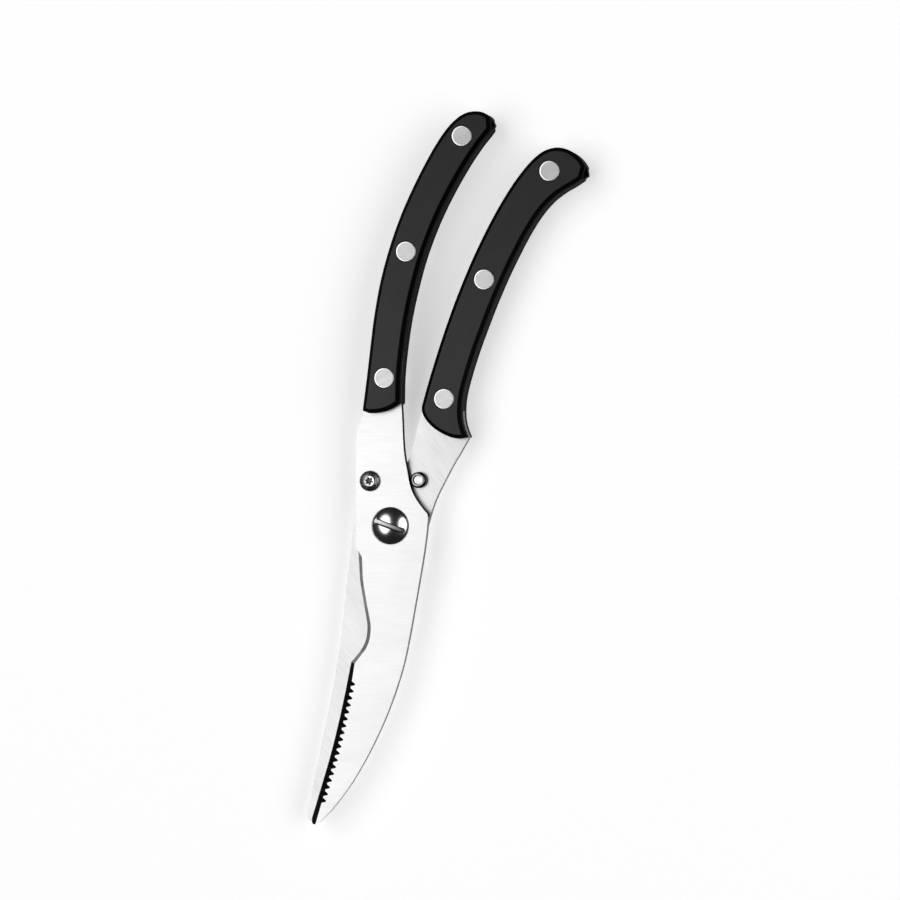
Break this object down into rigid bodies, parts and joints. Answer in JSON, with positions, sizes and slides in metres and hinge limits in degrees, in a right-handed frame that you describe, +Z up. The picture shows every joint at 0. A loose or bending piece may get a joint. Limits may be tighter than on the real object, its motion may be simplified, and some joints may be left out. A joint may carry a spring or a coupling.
{
  "type": "poultry shears",
  "caption": "Closed poultry shears: crossed steel half-shears on a screw pivot, a bone notch, a serrated curved blade, riveted black handles and a closing latch.",
  "frame": {"origin": "bottom centre of the shears' box, lying flat on the back handle", "axes": "+Z up through the thickness, from the back handle to the domed pivot head; +Y along the shears from the blade tips to the handle ends; +X to the right seen from above with the handles away"},
  "size_m": [0.061, 0.2572, 0.0171],
  "materials": {
    "blade_steel": "fine satin ground stainless steel",
    "black_pom": "moulded black acetal with a satin ground face",
    "rivet_steel": "brushed flush rivet heads",
    "polished_steel": "mirror polished dome",
    "fastener_steel": "plain turned stainless steel",
    "spring_steel": "drawn spring wire",
    "dark_steel": "turned steel with a dark burnished rim",
    "latch_steel": "pressed stainless sheet, tumbled edges"
  },
  "bodies": {
    "back_half": {"back_blade": "blade_steel", "back_handle_top_scale": "black_pom", "back_handle_under_scale": "black_pom", "back_rivet_head_1": "rivet_steel", "back_rivet_sleeve_1": "rivet_steel", "back_rivet_head_2": "rivet_steel", "back_rivet_sleeve_2": "rivet_steel", "back_rivet_head_3": "rivet_steel", "back_rivet_sleeve_3": "rivet_steel", "pivot_screw": "polished_steel", "pivot_spring_washer": "fastener_steel", "pivot_nut": "fastener_steel", "opening_spring": "spring_steel", "stop_pin": "dark_steel"},
    "front_half": {"front_blade": "blade_steel", "front_handle_top_scale": "black_pom", "front_handle_under_scale": "black_pom", "front_rivet_head_1": "rivet_steel", "front_rivet_sleeve_1": "rivet_steel", "front_rivet_head_2": "rivet_steel", "front_rivet_sleeve_2": "rivet_steel", "front_rivet_head_3": "rivet_steel", "front_rivet_sleeve_3": "rivet_steel", "latch_screw": "dark_steel", "latch_bush": "dark_steel", "latch_washer": "fastener_steel", "latch_nut": "fastener_steel"},
    "latch": {"latch_lever": "latch_steel"}
  },
  "joints": [
    {"name": "blade_hinge", "type": "hinge", "parent": "back_half", "child": "front_half", "pos_m": [-0.00628, -0.01957, 0.00855], "axis": [0, 0, 1], "range_deg": [0, 42], "stiffness_Nm_per_rad": 0.9, "springref_deg": 42, "deforming": ["opening_spring"]},
    {"name": "latch_swing", "type": "hinge", "parent": "front_half", "child": "latch", "pos_m": [-0.01718, -0.00617, 0.0041], "axis": [0, 0, -1], "range_deg": [0, 74]}
  ]
}
